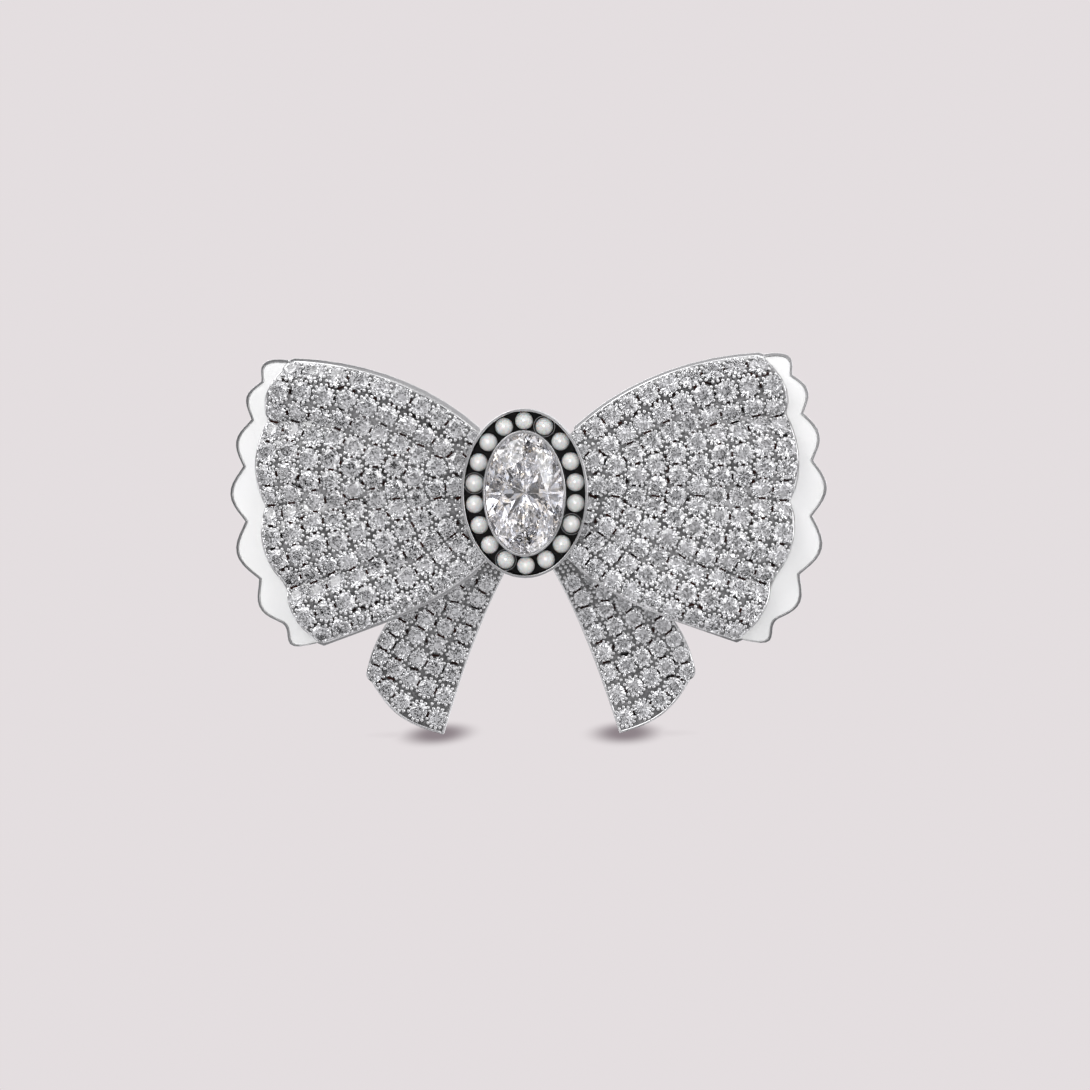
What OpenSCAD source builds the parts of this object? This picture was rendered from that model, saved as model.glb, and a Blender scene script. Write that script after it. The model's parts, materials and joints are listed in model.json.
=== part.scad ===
// Bow brooch: two pleated wings and two tails set with round stones, white enamel borders,
// and an oval medallion of pearls round one large stone, on a riveted back bridge with a pin.
// +X is the viewer's right, +Z is up, the front faces -Y and the back bridge's rear face is y = 0.
// The origin is the centre of that rear face, behind the middle of the medallion.

/* [Wings] */
// Height of the wing front at its root, in front of the rear face
wing_root_h = 5.3; // [5.2:0.05:5.35]
// Extra height of the wing front halfway out
wing_dome_h = 1.3; // [0.6:0.1:1.6]
// Height of the pleat ridges over their valleys, at the outer edge
pleat_h = 1; // [0.4:0.1:1.2]
// Wall of the wing shell
wing_wall = 1.1; // [0.9:0.05:1.2]

/* [Stones] */
// Radius of a round stone on the wings
stone_r = 0.95; // [0.7:0.01:0.96]
// Distance from stone to stone on the wings
stone_pitch = 2; // [1.98:0.02:2.3]
// Radius of the small stones that fill in beside the medallion
small_r = 0.6; // [0.5:0.05:0.6]
// Radius of a round stone on the tails
tail_stone_r = 0.84; // [0.7:0.01:0.85]
// Distance from stone to stone on the tails
tail_pitch = 1.8; // [1.78:0.02:2.2]
// How far a girdle stands above the metal
girdle_lift = 0.25; // [0.2:0.01:0.3]

/* [Medallion] */
// Outer half width of the medallion's rim
rim_a = 6.25; // [6.1:0.05:6.4]
// Outer half height of the medallion's rim
rim_b = 8.35; // [8.2:0.05:8.5]
// Thickness of the rim
rim_wall = 0.25; // [0.2:0.05:0.3]
// Number of pearls in the ring
pearl_count = 18; // [16:1:18]
// Radius of a pearl
pearl_r = 0.9; // [0.8:0.05:0.9]
// Half width of the centre stone
gem_a = 3.86; // [3.6:0.02:3.86]
// Half height of the centre stone
gem_b = 5.96; // [5.6:0.02:5.96]

/* [Pin] */
// Height of the pin's axis above the rear face
pin_y = 3; // [2.8:0.1:3.4]
// Height of the pin's axis up the brooch
pin_z = 4; // [3.6:0.1:4.4]
// Distance of the hinge from the middle
hinge_x = 14.5; // [13:0.5:15]
// Radius of the pin stem
stem_r = 0.45; // [0.35:0.05:0.45]
// Radius of the hinge rivet
hinge_rivet_r = 0.45; // [0.4:0.05:0.5]

/* [Hidden] */
RIGHT = 1;
LEFT = -1;
// Depths, counted forwards from the rear face
bridge_t = 0.8;
tail_back = 0.85;
tail_wall = 1.1;
tail_dome_h = 1;
tray_back = 3;
tray_front = 3.7;
wing_foot = 3.75;
enamel_front = 4.4;
tray_rim = 4.5;
cup_neck = 6.3;
cup_floor = 6.75;
channel_front = 7.1;
cup_rim = 9.05;
bezel_front = 9.45;
gem_girdle = 9;
gem_top = 10.45;
gem_culet = 5.4;
pocket_floor = 5.2;
pearl_y = 8.05;
fit_gap = 0.05;
rivet_gap = 0.02;
// Three points of each long wing edge, as [distance from the middle, angle]
WING_TOP = [[7.8, 51.8], [18.2, 39.6], [26.9, 29.8]];
WING_LOW = [[8, -58.5], [16.7, -44.5], [25.5, -36]];
// Valleys of the pleats from the lower edge up: [fraction of the way, distance, swell of the next lobe]
PLEATS = [[0, 25.3, 0.85], [0.227, 25.7, 0.95], [0.5, 26.1, 0.75], [0.79, 26.75, 1], [1, 26.6, 0]];
// Notches of the enamel border from the top down: [angle, distance, swell of the next lobe, its lean]
SCALLOPS = [
    [29.5, 27.3, 1.35, 0.8], [23.2, 28.85, 0.98, 1], [15.3, 28.6, 1.03, 1], [5.7, 28.65, 1.27, 1],
    [-5.4, 28.5, 1.45, 1], [-17.4, 28.4, 1.17, 1.1], [-27.6, 28, 1.5, 1.6], [-35, 26.2, 0, 1]
];
// Root of the wings, tucked under the medallion's flare
root_a = 5.8;
root_b = 7.9;
root_from = -58;
root_to = 52;
tray_margin = 0.3;
tray_wall = 0.24;
// The enamel's gaps to the tray's wall, to its floor and to the wing shell
fill_gap = 0.03;
fill_lift = 0.02;
fill_inner_gap = 0.1;
// Each tail runs between two curves, given by three control points each
TAIL_INNER = [[1.2, -6], [5.2, -12.2], [8.9, -24.5]];
TAIL_OUTER = [[4.5, -5], [15.2, -10.6], [16.6, -18.2]];
tail_from = 0.09;
// From the tip to the first row, as a share of the rows' step, and that step as a share of the pitch
first_row = 0.55;
row_spread = 1.1;
// Least share of the tail's length from its root to a row, and the share of the rim that hides stones
row_clear = 0.12;
rim_hides = 0.95;
tail_tip_swell = 1.25;
tail_tip_dir = [0.58, -0.81];
// Stones on the tails run this far in under the wings
under_wing = 0.7;
// Thickness of the wing's skirt, and the wing's rough length and width
wing_skirt = 0.6;
wing_reach = 20;
wing_width = 26;
grid_u = 8;
grid_v = 24;
edge_gap = 0.14;
// Least distance of a stone's centre from the wing's root
root_clear = 1.05;
// Rows of small stones: the first one's distance from the root, their step, their number,
// the step along a row at which a place is tried, and the least gap to another stone
small_from = 0.7;
small_row_step = 0.3;
small_row_count = 8;
small_step = 0.01;
small_gap = 0.1;
// Columns of stones on a wing, and how many of them the outer edge's swell fades over
column_total = 10;
swell_columns = 6;
seat_ratio = 0.8;
collar_over = 0.03;
collar_from = 0.03;
collar_gap = 0.06;
collar_h = 1;
seat_depth = 2.2;
seat_h = 3;
// Cut of a round stone: girdle's thickness, and shares of its radius
girdle_t = 0.06;
pavilion_share = 0.86;
table_share = 0.56;
crown_share = 0.32;
// Overlap of joined shapes, and how far a cutter runs past what it cuts
joint_lap = 0.1;
cut_past = 1;

function pearl_name(k) = str("pearl_", k < 10 ? "0" : "", k);
function mix(a, b, t) = a + (b - a) * t;
function polar(r, a) = [r * cos(a), r * sin(a)];
function unit(v) = v / norm(v);
function degrees(radians) = radians * 180 / PI;
// Value at x of the parabola through three points
function parabola(x, p) =
    p[0][1] * (x - p[1][0]) * (x - p[2][0]) / ((p[0][0] - p[1][0]) * (p[0][0] - p[2][0]))
    + p[1][1] * (x - p[0][0]) * (x - p[2][0]) / ((p[1][0] - p[0][0]) * (p[1][0] - p[2][0]))
    + p[2][1] * (x - p[0][0]) * (x - p[1][0]) / ((p[2][0] - p[0][0]) * (p[2][0] - p[1][0]));
function bezier(p, t) = (1 - t) * (1 - t) * p[0] + 2 * t * (1 - t) * p[1] + t * t * p[2];
function ellipse_r(a, b, angle) = a * b / sqrt(pow(b * cos(angle), 2) + pow(a * sin(angle), 2));
function ellipse(a, b, n = 60) = [for (k = [0 : n - 1]) [a * cos(360 * k / n), b * sin(360 * k / n)]];

// --- Wing surface ---------------------------------------------------------------------------
function wing_angle(r, v) = mix(parabola(r, WING_LOW), parabola(r, WING_TOP), v);
function wing_arc(r) = (wing_angle(r, 1) - wing_angle(r, 0)) * r / degrees(1);
function lobe_of(v, k = 0) = (k >= len(PLEATS) - 2 || v < PLEATS[k + 1][0]) ? k : lobe_of(v, k + 1);
function lobe_t(v) =
    let (k = lobe_of(v))
    max(0, min(1, (v - PLEATS[k][0]) / (PLEATS[k + 1][0] - PLEATS[k][0])));
function edge_chord(v) = let (k = lobe_of(v)) mix(PLEATS[k][1], PLEATS[k + 1][1], lobe_t(v));
function edge_swell(v) = PLEATS[lobe_of(v)][2] * pow(max(0, sin(180 * lobe_t(v))), 0.7);
function edge_r(v) = edge_chord(v) + edge_swell(v);
function root_r(v) = ellipse_r(root_a, root_b, mix(root_from, root_to, v));
function wing_h(u, v) =
    wing_root_h + wing_dome_h * sin(180 * pow(max(0, min(1, u)), 1.2))
    + pleat_h * (0.2 + 0.8 * u) * sin(180 * lobe_t(v));
// A point of the wing front, u from root to edge and v from the lower to the upper edge
function wing_point(u, v) =
    let (r = mix(root_r(v), edge_r(v), u), p = polar(r, wing_angle(r, v)))
    [p[0], -wing_h(u, v), p[1]];
function wing_at(r, v) = wing_point((r - root_r(v)) / (edge_r(v) - root_r(v)), v);
function wing_normal(r, v) =
    unit(cross(wing_at(r + 0.1, v) - wing_at(r - 0.1, v), wing_at(r, v + 0.01) - wing_at(r, v - 0.01)));

// Where the round stones sit: columns follow the outer edge, and each holds as many as fit
function column_r(c, v) =
    edge_chord(v) + edge_swell(v) * max(0, 1 - c / swell_columns)
    - stone_pitch / 2 - edge_gap - c * stone_pitch;
function column_count(c) = floor((wing_arc(column_r(c, 0.5)) - 2 * edge_gap) / stone_pitch);
function column_v(c, k) =
    let (m = edge_gap / wing_arc(column_r(c, 0.5)))
    m + (1 - 2 * m) * (k + 0.5) / column_count(c);
WING_SEATS = [
    for (c = [0 : column_total - 1], k = [0 : column_count(c) - 1])
        let (v = column_v(c, k), r = column_r(c, v))
        if (r - root_clear > root_r(v)) [wing_at(r, v), wing_normal(r, v), wing_rise(r, v)]
];
// Small stones fill the wing's root, in rows that follow the medallion, wherever one has room
function has_room(p, seats, distance) = len([for (seat = seats) if (norm(seat[0] - p) < distance) 1]) == 0;
function small_row(from_root, v, found) =
    let (r = root_r(v) + from_root, end = (small_r + edge_gap) / wing_arc(r), p = wing_at(r, v))
    v > 1 - end ? found
    : small_row(from_root, v + small_step,
        v > end
        && has_room(p, WING_SEATS, stone_r + small_r + small_gap)
        && has_room(p, found, 2 * small_r + small_gap)
            ? concat(found, [[p, wing_normal(r, v), 0]])
            : found);
function small_rows(k, found) =
    k == small_row_count ? found : small_rows(k + 1, small_row(small_from + k * small_row_step, 0, found));
SMALL_SEATS = small_rows(0, []);
// How far the metal beside a stone rises above the stone's own base plane
function wing_rise(r, v) =
    let (p = wing_at(r, v), n = wing_normal(r, v), dv = stone_r / wing_arc(r))
    max((wing_at(r, min(1, v + dv)) - p) * n, (wing_at(r, max(0, v - dv)) - p) * n);

// --- Tail surface ---------------------------------------------------------------------------
function tail_flat(s, t) =
    mix(bezier(TAIL_INNER, t), bezier(TAIL_OUTER, t), s)
    + tail_tip_swell * sin(180 * s) * pow(t, 6) * tail_tip_dir;
function tail_h(s, t) =
    tail_back + tail_wall + tail_dome_h * pow(sin(90 * min(1, t)), 4) * (0.35 + 0.65 * sin(180 * s));
function tail_point(s, t) = let (p = tail_flat(s, t)) [p[0], -tail_h(s, t), p[1]];
function tail_normal(s, t) =
    unit(cross(tail_point(s, t + 0.02) - tail_point(s, t - 0.02),
               tail_point(s + 0.02, t) - tail_point(s - 0.02, t)));
function tail_width(t) = norm(tail_flat(1, t) - tail_flat(0, t));
function tail_row_count(t) = floor((tail_width(t) - 2 * edge_gap) / tail_pitch);
tail_length = norm(tail_flat(0.5, 1) - tail_flat(0.5, 0.5)) + norm(tail_flat(0.5, 0.5) - tail_flat(0.5, 0));
// Rows crowd together along the tail's edges, so their step is a little over the pitch
tail_row_step = row_spread * tail_pitch / tail_length;
// True where a stone on the tail clears the wing's lower edge
function beyond_wing(p) =
    let (r = norm([p[0], p[2]]))
    atan2(p[2], p[0]) < parabola(r, WING_LOW) + degrees(under_wing / r)
    && norm([p[0] / rim_a, p[2] / rim_b]) > rim_hides;
TAIL_SEATS = [
    for (row = [0 : 9])
        let (t = 1 - (row + first_row) * tail_row_step, n = tail_row_count(t), m = edge_gap / tail_width(t))
        for (k = [0 : n - 1])
            let (s = m + (1 - 2 * m) * (k + 0.5) / n)
            if (t > tail_from + row_clear && beyond_wing(tail_point(s, t)))
                [tail_point(s, t), tail_normal(s, t)]
];

// --- Helpers --------------------------------------------------------------------------------
// A flat layer from depth "back" to depth "front", its outline given as [x, z]
module layer(back, front) {
    translate([0, -back, 0])
        rotate([90, 0, 0])
            linear_extrude(front - back)
                children();
}

module side(s) {
    if (s == LEFT) {
        mirror([1, 0, 0])
            children();
    } else {
        children();
    }
}

// A rod along Y between two depths behind or in front of the rear face
module rod_y(x, z, r, from, to) {
    translate([x, to, z])
        rotate([90, 0, 0])
            cylinder(r = r, h = to - from, $fn = 32);
}

// Indices that run once round the border of a grid of nu by nv points
function border(nu, nv) = concat(
    [for (i = [0 : nu - 2]) i * nv],
    [for (j = [0 : nv - 2]) (nu - 1) * nv + j],
    [for (i = [nu - 1 : -1 : 1]) i * nv + nv - 1],
    [for (j = [nv - 1 : -1 : 1]) j]
);

// A closed sheet-like solid: a front grid, loops that carry its border back, and a back grid
module grid_solid(front, loops, back, nu, nv) {
    ring = border(nu, nv);
    n = len(ring);
    total = nu * nv;
    rings = concat(
        [ring],
        [for (q = [0 : 1 : len(loops) - 1]) [for (k = [0 : n - 1]) total + q * n + k]],
        [[for (k = ring) total + len(loops) * n + k]]
    );
    back_start = total + len(loops) * n;
    points = concat(front, [for (loop = loops) each loop], back);
    faces = concat(
        [for (i = [0 : nu - 2], j = [0 : nv - 2]) let (a = i * nv + j) each
            [[a, a + nv, a + nv + 1], [a, a + nv + 1, a + 1]]],
        [for (i = [0 : nu - 2], j = [0 : nv - 2]) let (a = back_start + i * nv + j) each
            [[a, a + nv + 1, a + nv], [a, a + 1, a + nv + 1]]],
        [for (q = [0 : len(rings) - 2], k = [0 : n - 1])
            let (
                a = rings[q][k], b = rings[q][(k + 1) % n],
                c = rings[q + 1][(k + 1) % n], d = rings[q + 1][k]
            )
            each [[a, c, b], [a, d, c]]]
    );
    polyhedron(points, faces);
}

// Turns +Z onto a direction and moves to a point
module placed(seat) {
    d = seat[1];
    translate(seat[0])
        rotate([0, acos(d[2]), atan2(d[1], d[0])])
            children();
}

// Through hole that a stone's point hangs in, with a collar where the metal rises beside it
module seat_hole(r, rise = 0) {
    translate([0, 0, -seat_depth])
        cylinder(r = r * seat_ratio, h = seat_h, $fn = 8);
    if (rise > collar_over) {
        translate([0, 0, collar_from])
            cylinder(r = r + collar_gap, h = collar_h, $fn = 16);
    }
}

// A round stone with its girdle above z = 0, table forwards
module round_stone(r) {
    table_z = girdle_lift + girdle_t + crown_share * r;
    rotate_extrude($fn = 16)
        polygon([
            [0, girdle_lift - pavilion_share * r], [r, girdle_lift], [r, girdle_lift + girdle_t],
            [table_share * r, table_z], [0, table_z]
        ]);
}

// --- Wings ----------------------------------------------------------------------------------
module wing_plate(s) {
    nu = grid_u + 1;
    nv = grid_v + 1;
    eu = wing_skirt / wing_reach;
    ev = wing_skirt / wing_width;
    front = [for (i = [0 : grid_u], j = [0 : grid_v]) wing_point(i / grid_u, j / grid_v)];
    back = [
        for (i = [0 : grid_u], j = [0 : grid_v])
            wing_point(mix(eu, 1 - eu, i / grid_u), mix(ev, 1 - ev, j / grid_v)) + [0, wing_wall, 0]
    ];
    ring = border(nu, nv);
    foot_out = [for (k = ring) [front[k][0], -wing_foot, front[k][2]]];
    foot_in = [for (k = ring) [back[k][0], -wing_foot, back[k][2]]];
    color("gainsboro")
        side(s)
            difference() {
                grid_solid(front, [foot_out, foot_in], back, nu, nv);
                for (seat = WING_SEATS) {
                    placed(seat)
                        seat_hole(stone_r, seat[2]);
                }
                for (seat = SMALL_SEATS) {
                    placed(seat)
                        seat_hole(small_r);
                }
            }
}

module wing_stones(s) {
    color("aliceblue")
        side(s) {
            for (seat = WING_SEATS) {
                placed(seat)
                    round_stone(stone_r);
            }
            for (seat = SMALL_SEATS) {
                placed(seat)
                    round_stone(small_r);
            }
        }
}

// The scalloped edge, moved inwards by "inset"
function scallop_edge(inset, steps = 10) = [
    for (k = [0 : len(SCALLOPS) - 2], i = [0 : steps])
        if (i < steps || k == len(SCALLOPS) - 2)
            let (
                t = i / steps, a = SCALLOPS[k], b = SCALLOPS[k + 1],
                r = mix(a[1], b[1], t) + a[2] * pow(max(0, sin(180 * pow(t, a[3]))), 1.15)
            )
            polar(r - inset, mix(a[0], b[0], t) - inset * (k == 0 ? (1 - t) * 2 : 0))
];

function tray_outline() = concat(
    [for (r = [25.8 : -1.8 : 8]) polar(r, parabola(r, WING_LOW) - degrees(tray_margin / r))],
    [for (a = [-56 : 8 : 48]) polar(ellipse_r(root_a, root_b, a), a)],
    [for (r = [8 : 2.1 : 27]) polar(r, parabola(r, WING_TOP) + degrees(tray_margin / r))],
    scallop_edge(0)
);

module enamel_tray(s) {
    inner = scallop_edge(tray_wall);
    n = len(inner);
    color("silver")
        side(s)
            difference() {
                union() {
                    layer(tray_back, tray_front)
                        polygon(tray_outline());
                    layer(tray_front - joint_lap, tray_rim)
                        polygon(concat(scallop_edge(0), [for (k = [n - 1 : -1 : 0]) inner[k]]));
                    for (x = WING_RIVET_X) {
                        rod_y(x, pin_z, boss_r, -tray_back - joint_lap, -bridge_t);
                    }
                }
                for (x = WING_RIVET_X) {
                    rod_y(x, pin_z, wing_rivet_r + rivet_gap, -tray_front - cut_past, 0);
                }
            }
}

module enamel_fill(s) {
    color("white")
        side(s)
            layer(tray_front + fill_lift, enamel_front)
                polygon(concat(
                    scallop_edge(tray_wall + fill_gap),
                    [
                        for (k = [0 : grid_v])
                            let (v = k / grid_v, r = edge_r(v) + fill_inner_gap)
                            polar(r, wing_angle(r, v))
                    ]
                ));
}

// --- Tails ----------------------------------------------------------------------------------
module tail_plate(s) {
    nu = 11;
    nv = 9;
    front = [
        for (i = [0 : nu - 1], j = [0 : nv - 1]) tail_point(1 - j / (nv - 1), mix(tail_from, 1, i / (nu - 1)))
    ];
    back = [for (p = front) p + [0, tail_wall, 0]];
    color("gainsboro")
        side(s)
            difference() {
                grid_solid(front, [], back, nu, nv);
                for (seat = TAIL_SEATS) {
                    placed(seat)
                        seat_hole(tail_stone_r);
                }
                rod_y(TAIL_RIVET[0], TAIL_RIVET[1], tail_rivet_r + rivet_gap, -tray_front, 0);
            }
}

module tail_stones(s) {
    color("aliceblue")
        side(s)
            for (seat = TAIL_SEATS) {
                placed(seat)
                    round_stone(tail_stone_r);
            }
}

// --- Medallion ------------------------------------------------------------------------------
neck_a = 5.4;
neck_b = 7.5;
bezel_a = 4.08;
bezel_b = 6.2;
// The bezel's ledge, below the girdle
ledge_drop = 0.45;
ledge_in = 0.25;
// Pocket under the stone, gap round the stone, and what stands on the cup's floor clears it by this
pocket_in = 0.3;
gem_gap = 0.04;
seat_lift = 0.01;
// The stone's girdle, its shoulder under the girdle, its table and its keel
gem_girdle_t = 0.1;
shoulder_in = 0.42;
shoulder_drop = 0.6;
table_size = 0.58;
keel_a = 0.1;
keel_b = 1.2;

module medallion_cup() {
    color("silver")
        difference() {
            union() {
                layer(bridge_t, cup_neck + joint_lap)
                    polygon(ellipse(neck_a, neck_b));
                layer(cup_neck, cup_rim)
                    polygon(ellipse(rim_a, rim_b));
            }
            layer(cup_floor, cup_rim + cut_past)
                polygon(ellipse(rim_a - rim_wall, rim_b - rim_wall));
            layer(pocket_floor, cup_floor + cut_past)
                polygon(ellipse(gem_a - pocket_in, gem_b - pocket_in));
            for (z = CUP_RIVET_Z) {
                rod_y(0, z, cup_rivet_r + rivet_gap, -cup_rivet_l - joint_lap, 0);
            }
        }
}

module channel_floor() {
    color("black")
        difference() {
            layer(cup_floor + seat_lift, channel_front)
                polygon(ellipse(rim_a - rim_wall - fill_gap, rim_b - rim_wall - fill_gap));
            layer(cup_floor - cut_past, channel_front + cut_past)
                polygon(ellipse(bezel_a + rivet_gap, bezel_b + rivet_gap));
            for (k = [1 : pearl_count]) {
                rod_y(pearl_x(k), pearl_z(k), peg_r + rivet_gap,
                      -channel_front - cut_past, -cup_floor + cut_past);
            }
        }
}

// Turn of pearl k round the ring, eased so that the pearls are evenly spaced
function pearl_turn(k) = let (a = 360 * (k - 1) / pearl_count) a + 5 * sin(2 * a);
ring_a = (rim_a - rim_wall + bezel_a) / 2;
ring_b = (rim_b - rim_wall + bezel_b) / 2;
function pearl_x(k) = ring_a * sin(pearl_turn(k));
function pearl_z(k) = ring_b * cos(pearl_turn(k));
peg_r = 0.22;
peg_top = pearl_y + 0.1;

module pearl_pegs() {
    color("silver")
        for (k = [1 : pearl_count]) {
            rod_y(pearl_x(k), pearl_z(k), peg_r, -peg_top, -cup_floor - seat_lift);
        }
}

module pearl(k) {
    color("ivory")
        difference() {
            translate([pearl_x(k), -pearl_y, pearl_z(k)])
                sphere(r = pearl_r, $fn = 32);
            rod_y(pearl_x(k), pearl_z(k), peg_r + rivet_gap, -peg_top - fit_gap, -cup_floor);
        }
}

module centre_bezel() {
    color("silver")
        difference() {
            layer(cup_floor + seat_lift, bezel_front)
                polygon(ellipse(bezel_a, bezel_b));
            layer(cup_floor - cut_past, bezel_front + cut_past)
                polygon(ellipse(gem_a - ledge_in, gem_b - ledge_in));
            layer(gem_girdle - ledge_drop, bezel_front + cut_past)
                polygon(ellipse(gem_a + gem_gap, gem_b + gem_gap));
        }
}

// Oval brilliant: girdle, crown and pavilion are joined facet by facet
module centre_stone() {
    color("aliceblue")
        hull() {
            layer(gem_girdle - gem_girdle_t, gem_girdle)
                polygon(ellipse(gem_a, gem_b, 32));
            layer(gem_girdle, gem_top)
                polygon(ellipse(table_size * gem_a, table_size * gem_b, 8));
            layer(gem_girdle - shoulder_drop, gem_girdle)
                polygon(ellipse(gem_a - shoulder_in, gem_b - shoulder_in, 32));
            layer(gem_culet, gem_culet + gem_girdle_t)
                polygon(ellipse(keel_a, keel_b, 8));
        }
}

// --- Back -----------------------------------------------------------------------------------
WING_RIVET_X = [8.6, 18.4];
TAIL_RIVET = [6, -7.6];
CUP_RIVET_Z = [-5.6, 5.6];
wing_rivet_r = 0.6;
tail_rivet_r = 0.5;
cup_rivet_r = 0.5;
cup_rivet_l = 2.5;
boss_r = 1.2;
// Arms that carry the tails
arm_half_w = 1.4;
arm_l = 6;
arm_lean = 38;
bar_half_l = 20;
bar_half_w = 1.4;
// The bar's ends are let in, so that the hinge and the catch leave the rear face clear
step_x = 12.4;
step_t = 0.15;

module back_bridge() {
    color("silver")
        difference() {
            union() {
                layer(0, bridge_t)
                    polygon(ellipse(neck_a, neck_b));
                translate([-bar_half_l, -bridge_t, pin_z - bar_half_w])
                    cube([2 * bar_half_l, bridge_t, 2 * bar_half_w]);
                for (s = [LEFT, RIGHT]) {
                    rod_y(s * bar_half_l, pin_z, bar_half_w, -bridge_t, 0);
                    rod_y(s * TAIL_RIVET[0], TAIL_RIVET[1], arm_half_w, -bridge_t, 0);
                    translate([s * TAIL_RIVET[0], 0, TAIL_RIVET[1]])
                        rotate([0, -s * arm_lean, 0])
                            translate([-arm_half_w, -bridge_t, 0])
                                cube([2 * arm_half_w, bridge_t, arm_l]);
                }
            }
            for (s = [LEFT, RIGHT]) {
                translate([s * (step_x + bar_half_l / 2), cut_past / 2 - step_t, pin_z])
                    cube([bar_half_l, cut_past, 3 * bar_half_w], center = true);
                for (x = WING_RIVET_X) {
                    rod_y(s * x, pin_z, wing_rivet_r + rivet_gap, -bridge_t - cut_past, cut_past);
                }
                rod_y(s * TAIL_RIVET[0], TAIL_RIVET[1], tail_rivet_r + rivet_gap,
                      -bridge_t - cut_past, cut_past);
            }
            for (z = CUP_RIVET_Z) {
                rod_y(0, z, cup_rivet_r + rivet_gap, -bridge_t - cut_past, cut_past);
            }
        }
}

module bridge_rivets() {
    color("silver") {
        for (s = [LEFT, RIGHT]) {
            for (x = WING_RIVET_X) {
                rod_y(s * x, pin_z, wing_rivet_r, -tray_front, x > step_x ? -step_t : 0);
            }
            rod_y(s * TAIL_RIVET[0], TAIL_RIVET[1], tail_rivet_r, -tail_back - tail_wall / 2, 0);
        }
        for (z = CUP_RIVET_Z) {
            rod_y(0, z, cup_rivet_r, -cup_rivet_l, 0);
        }
    }
}

// --- Pin and its hinge ----------------------------------------------------------------------
cheek_t = 0.6;
head_t = 0.24;
barrel_r = 1.05;
barrel_half = 0.95;
base_t = 0.6;
base_half_l = 2;
cheek_out = barrel_half + fit_gap + cheek_t;
stem_straight_to = 12.4;
stem_slim_to = 15.6;
stem_slim_by = 0.06;
stem_tip_x = 17;
stem_tip_r = 0.08;
stem_from = 0.7;

module hinge_bracket() {
    color("silver")
        difference() {
            union() {
                translate([-hinge_x - base_half_l, -step_t, pin_z - cheek_out])
                    cube([2 * base_half_l, base_t, 2 * cheek_out]);
                for (z = [pin_z - cheek_out, pin_z + cheek_out - cheek_t]) {
                    translate([-hinge_x - barrel_r, 0, z])
                        cube([2 * barrel_r, pin_y, cheek_t]);
                    translate([-hinge_x, pin_y, z])
                        cylinder(r = barrel_r, h = cheek_t, $fn = 32);
                }
            }
            translate([-hinge_x, pin_y, pin_z])
                cylinder(r = hinge_rivet_r + rivet_gap, h = 3 * cheek_out, center = true, $fn = 32);
        }
}

module hinge_rivet() {
    color("silver") {
        translate([-hinge_x, pin_y, pin_z])
            cylinder(r = hinge_rivet_r, h = 2 * (cheek_out + rivet_gap), center = true, $fn = 32);
        for (s = [-1, 1]) {
            translate([-hinge_x, pin_y, pin_z + s * (cheek_out + head_t / 2 + seat_lift)])
                cylinder(r = hinge_rivet_r + head_t, h = head_t, center = true, $fn = 32);
        }
    }
}

module pin_length(from, to, r_from, r_to) {
    translate([from, pin_y, pin_z])
        rotate([0, 90, 0])
            cylinder(r1 = r_from, r2 = r_to, h = to - from, $fn = 32);
}

module pin_stem() {
    color("lightsteelblue")
        difference() {
            union() {
                translate([-hinge_x, pin_y, pin_z - barrel_half])
                    cylinder(r = barrel_r, h = 2 * barrel_half, $fn = 32);
                pin_length(-hinge_x + stem_from, stem_straight_to, stem_r, stem_r);
                pin_length(stem_straight_to, stem_slim_to, stem_r, stem_r - stem_slim_by);
                pin_length(stem_slim_to, stem_tip_x, stem_r - stem_slim_by, stem_tip_r);
            }
            translate([-hinge_x, pin_y, pin_z])
                cylinder(r = hinge_rivet_r + fit_gap, h = 3 * cheek_out, center = true, $fn = 32);
        }
}

// --- Rollover catch -------------------------------------------------------------------------
catch_x = 13.2;
catch_l = 3;
catch_r = 2.1;
catch_bore_r = 1.55;
foot_out = 0.5;
foot_half_w = 1.35;
post_half_w = 0.9;
rotor_r = 1.5;
rotor_bore_r = 0.75;
mouth = 45;
tab_w = 0.6;
tab_turn = 80;
tab_from = 1.1;
tab_reach = 2.9;
tab_inset = 0.05;
tab_half_l = 0.5;
// How far the rotor stands out of the catch at each end
rotor_out = 0.1;
// Depth of the mouth's wedge from the axis
mouth_reach = 4;
mouth_half = mouth_reach * tan(mouth);

// A wedge open towards +Y, round an axis along X
module mouth_cut(x, l) {
    translate([x, 0, 0])
        rotate([90, 0, 90])
            linear_extrude(l)
                polygon([[0, 0], [mouth_reach, -mouth_half], [mouth_reach, mouth_half]]);
}

module tube_x(x, l, r) {
    translate([x, 0, 0])
        rotate([0, 90, 0])
            cylinder(r = r, h = l, $fn = 40);
}

module catch_body() {
    color("silver")
        translate([0, pin_y, pin_z])
            difference() {
                union() {
                    tube_x(catch_x, catch_l, catch_r);
                    translate([catch_x, -pin_y + base_t / 2, -post_half_w])
                        cube([catch_l, pin_y - catch_bore_r - joint_lap - base_t / 2, 2 * post_half_w]);
                    translate([catch_x - foot_out, -pin_y - step_t, -foot_half_w])
                        cube([catch_l + 2 * foot_out, base_t, 2 * foot_half_w]);
                }
                tube_x(catch_x - cut_past, catch_l + 2 * cut_past, catch_bore_r);
                mouth_cut(catch_x - cut_past, catch_l + 2 * cut_past);
            }
}

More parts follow.
